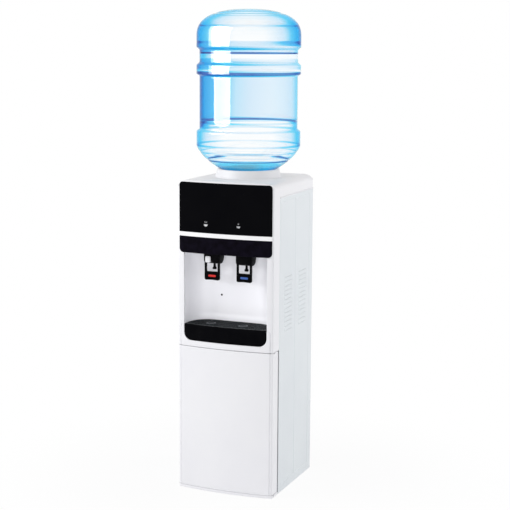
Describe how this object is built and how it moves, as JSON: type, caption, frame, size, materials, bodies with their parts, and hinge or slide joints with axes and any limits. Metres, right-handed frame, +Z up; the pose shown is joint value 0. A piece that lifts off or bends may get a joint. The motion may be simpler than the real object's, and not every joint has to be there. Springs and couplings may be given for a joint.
{
  "type": "bottled water dispenser",
  "caption": "Floor-standing hot and cold water dispenser with an inverted water bottle, push-lever taps in a lit niche, a pull-out drip tray and a storage cabinet below.",
  "frame": {"origin": "on the floor, under the middle of the machine's bounding box", "axes": "+Z up the machine, -Y is the front with the taps, +X is to the right of someone facing the front"},
  "size_m": [0.2968, 0.332, 1.3693],
  "materials": {
    "white_moulding": "smooth, softly glossy white",
    "black_gloss_panel": "high-gloss black",
    "side_sheet": "smooth pale paint, faintly cool",
    "bare_steel": "plain zinc-plated or stainless sheet",
    "black_plastic": "fine satin black",
    "slate_plastic": "satin slate grey",
    "red_print": "glossy red",
    "blue_print": "glossy blue",
    "bottle_clear": "clear pale blue polycarbonate",
    "heat_sink_aluminium": "plain extruded aluminium",
    "foam": "white expanded foam",
    "silicone_hose": "milky food-grade silicone",
    "circuit_board": "green solder mask",
    "white_ceramic": "unglazed white ceramic",
    "foot_rubber": "black rubber"
  },
  "bodies": {
    "housing": {"upper_housing": "white_moulding", "niche_liner": "white_moulding", "control_panel": "black_gloss_panel", "trim_strip": "white_moulding", "tap_band": "black_gloss_panel", "hot_indicator": "black_gloss_panel", "cold_indicator": "black_gloss_panel", "display_board": "circuit_board", "hot_tap_body": "black_plastic", "cold_tap_body": "black_plastic", "hot_nozzle": "black_plastic", "cold_nozzle": "black_plastic", "hot_lever_pin": "bare_steel", "cold_lever_pin": "bare_steel", "door_hinge_pin_top": "bare_steel", "door_hinge_pin_bottom": "bare_steel", "door_magnet": "black_plastic", "cabinet_liner": "white_moulding", "mid_shelf": "bare_steel", "base_plate": "bare_steel", "foot_front_left": "foot_rubber", "foot_front_right": "foot_rubber", "foot_rear_left": "foot_rubber", "foot_rear_right": "foot_rubber", "side_panel_left": "side_sheet", "side_panel_right": "side_sheet", "back_panel": "side_sheet", "bottle_collar": "white_moulding", "inlet_funnel": "white_moulding", "cold_tank": "bare_steel", "tank_insulation": "foam", "cold_plate": "heat_sink_aluminium", "peltier_module": "white_ceramic", "heat_sink": "heat_sink_aluminium", "fan_frame": "black_plastic", "hot_tank": "bare_steel", "heater_band": "bare_steel", "thermostat": "black_plastic", "cold_tube": "silicone_hose", "hot_tube": "silicone_hose", "feed_tube": "silicone_hose", "drain_tube": "silicone_hose", "power_supply": "bare_steel", "switch_frame": "black_plastic", "cord_gland": "black_plastic"},
    "bottle": {"bottle": "bottle_clear", "bottle_cap": "blue_print"},
    "hot_lever": {"hot_lever": "black_plastic", "hot_label": "red_print"},
    "cold_lever": {"cold_lever": "black_plastic", "cold_label": "blue_print"},
    "child_lock": {"child_lock_button": "white_moulding"},
    "door": {"door": "white_moulding", "strike_plate": "bare_steel"},
    "drip_tray": {"drip_tray": "black_plastic"},
    "drip_grille": {"drip_grille": "slate_plastic"},
    "fan": {"fan_rotor": "black_plastic"},
    "hot_switch": {"hot_switch": "red_print"},
    "cold_switch": {"cold_switch": "blue_print"},
    "drain_cap": {"drain_cap": "black_plastic"}
  },
  "joints": [
    {"name": "bottle_lift", "type": "slide", "parent": "housing", "child": "bottle", "axis": [0, 0, 1], "range_m": [0, 0.15]},
    {"name": "hot_lever_push", "type": "hinge", "parent": "housing", "child": "hot_lever", "pos_m": [-0.049, -0.1287, 0.678], "axis": [1, 0, 0], "range_deg": [0, 10], "stiffness_Nm_per_rad": 0.12, "springref_deg": -11.46},
    {"name": "cold_lever_push", "type": "hinge", "parent": "housing", "child": "cold_lever", "pos_m": [0.049, -0.1287, 0.678], "axis": [1, 0, 0], "range_deg": [0, 10], "stiffness_Nm_per_rad": 0.12, "springref_deg": -11.46},
    {"name": "child_lock_press", "type": "slide", "parent": "housing", "child": "child_lock", "axis": [0, 1, 0], "range_m": [0, 0.0015], "stiffness_N_per_m": 400, "springref_m": -0.001},
    {"name": "door_swing", "type": "hinge", "parent": "housing", "child": "door", "pos_m": [-0.139, -0.1125, 0.2], "axis": [0, 0, -1], "range_deg": [0, 95]},
    {"name": "drip_tray_slide", "type": "slide", "parent": "housing", "child": "drip_tray", "axis": [0, -1, 0], "range_m": [0, 0.11]},
    {"name": "drip_grille_lift", "type": "slide", "parent": "drip_tray", "child": "drip_grille", "axis": [0, 0, 1], "range_m": [0, 0.05]},
    {"name": "fan_spin", "type": "hinge", "parent": "housing", "child": "fan", "pos_m": [0, 0.14, 0.7795], "axis": [0, 1, 0], "continuous": true},
    {"name": "hot_switch_rock", "type": "hinge", "parent": "housing", "child": "hot_switch", "pos_m": [0.073, 0.158, 0.64], "axis": [1, 0, 0], "range_deg": [0, 16]},
    {"name": "cold_switch_rock", "type": "hinge", "parent": "housing", "child": "cold_switch", "pos_m": [0.097, 0.158, 0.64], "axis": [1, 0, 0], "range_deg": [0, 16]},
    {"name": "drain_cap_turn", "type": "hinge", "parent": "housing", "child": "drain_cap", "pos_m": [-0.05, 0.162, 0.4416], "axis": [0, 1, 0], "continuous": true}
  ]
}
